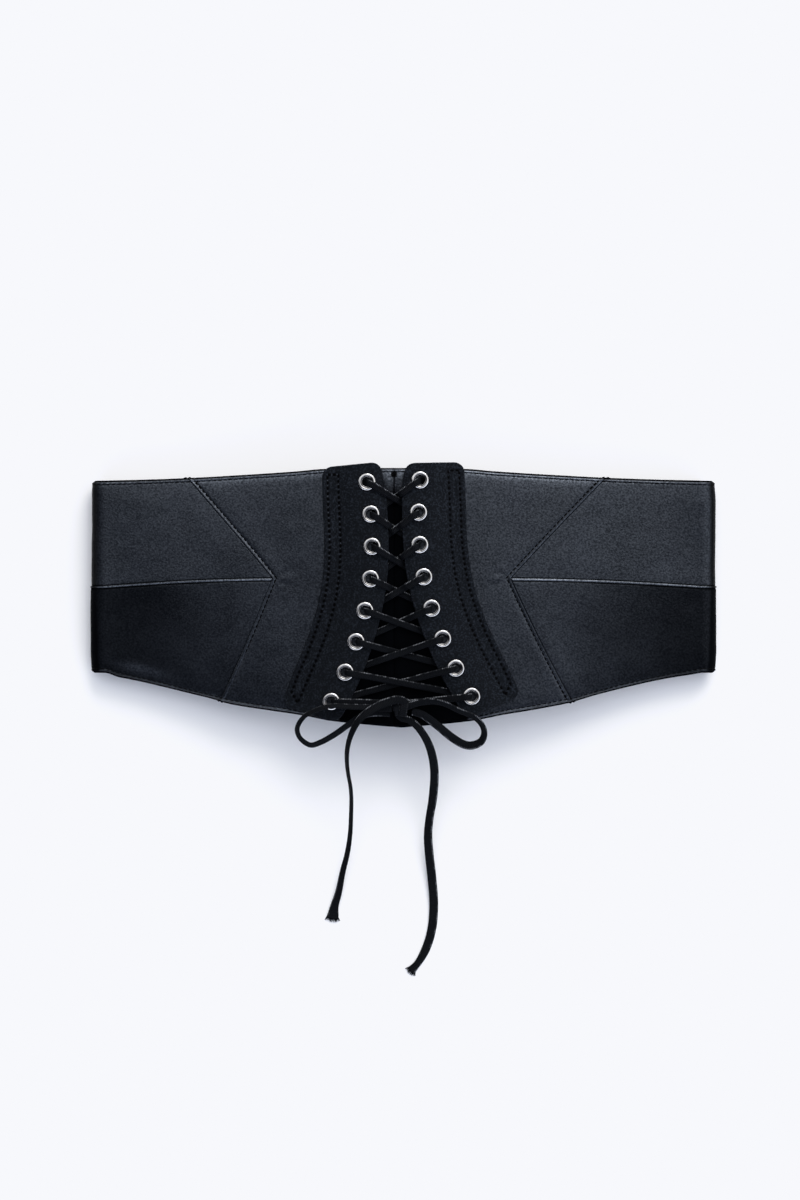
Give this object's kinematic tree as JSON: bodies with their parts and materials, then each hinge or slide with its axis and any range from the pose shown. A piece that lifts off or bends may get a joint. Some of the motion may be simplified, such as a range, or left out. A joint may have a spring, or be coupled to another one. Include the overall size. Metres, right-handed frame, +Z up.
{
  "type": "corset belt",
  "caption": "Wide leather waist belt with arrow seams, two suede flaps with metal eyelets, and a criss-cross lace tied in a bow.",
  "frame": {"origin": "bottom centre of the belt without its free lace: the point on the ground midway between the folds and between the lower and upper edges", "axes": "+X along the waist from fold to fold, +Y from the lower edge with the bow to the upper edge, +Z up from the ground out of the laced front"},
  "size_m": [0.35, 0.2863, 0.0379],
  "materials": {
    "leather": "smooth satin black",
    "suede": "matt napped black",
    "eyelet_metal": "polished silver",
    "lace": "woven flat lace"
  },
  "bodies": {
    "root": {"front_panel_left": "leather", "front_panel_right": "leather", "side_panel_upper_left": "leather", "side_panel_lower_left": "leather", "side_panel_upper_right": "leather", "side_panel_lower_right": "leather", "back_closure": "leather", "eyelet_flap_left": "suede", "eyelet_flap_right": "suede", "eyelet_left_1": "eyelet_metal", "eyelet_left_2": "eyelet_metal", "eyelet_left_3": "eyelet_metal", "eyelet_left_4": "eyelet_metal", "eyelet_left_5": "eyelet_metal", "eyelet_left_6": "eyelet_metal", "eyelet_left_7": "eyelet_metal", "eyelet_left_8": "eyelet_metal", "eyelet_right_1": "eyelet_metal", "eyelet_right_2": "eyelet_metal", "eyelet_right_3": "eyelet_metal", "eyelet_right_4": "eyelet_metal", "eyelet_right_5": "eyelet_metal", "eyelet_right_6": "eyelet_metal", "eyelet_right_7": "eyelet_metal", "eyelet_right_8": "eyelet_metal", "lacing_from_left": "lace", "lacing_from_right": "lace", "lace_knot": "lace", "bow_loop_left": "lace", "bow_loop_right": "lace", "lace_tail_left": "lace", "lace_tail_right": "lace"}
  },
  "joints": []
}
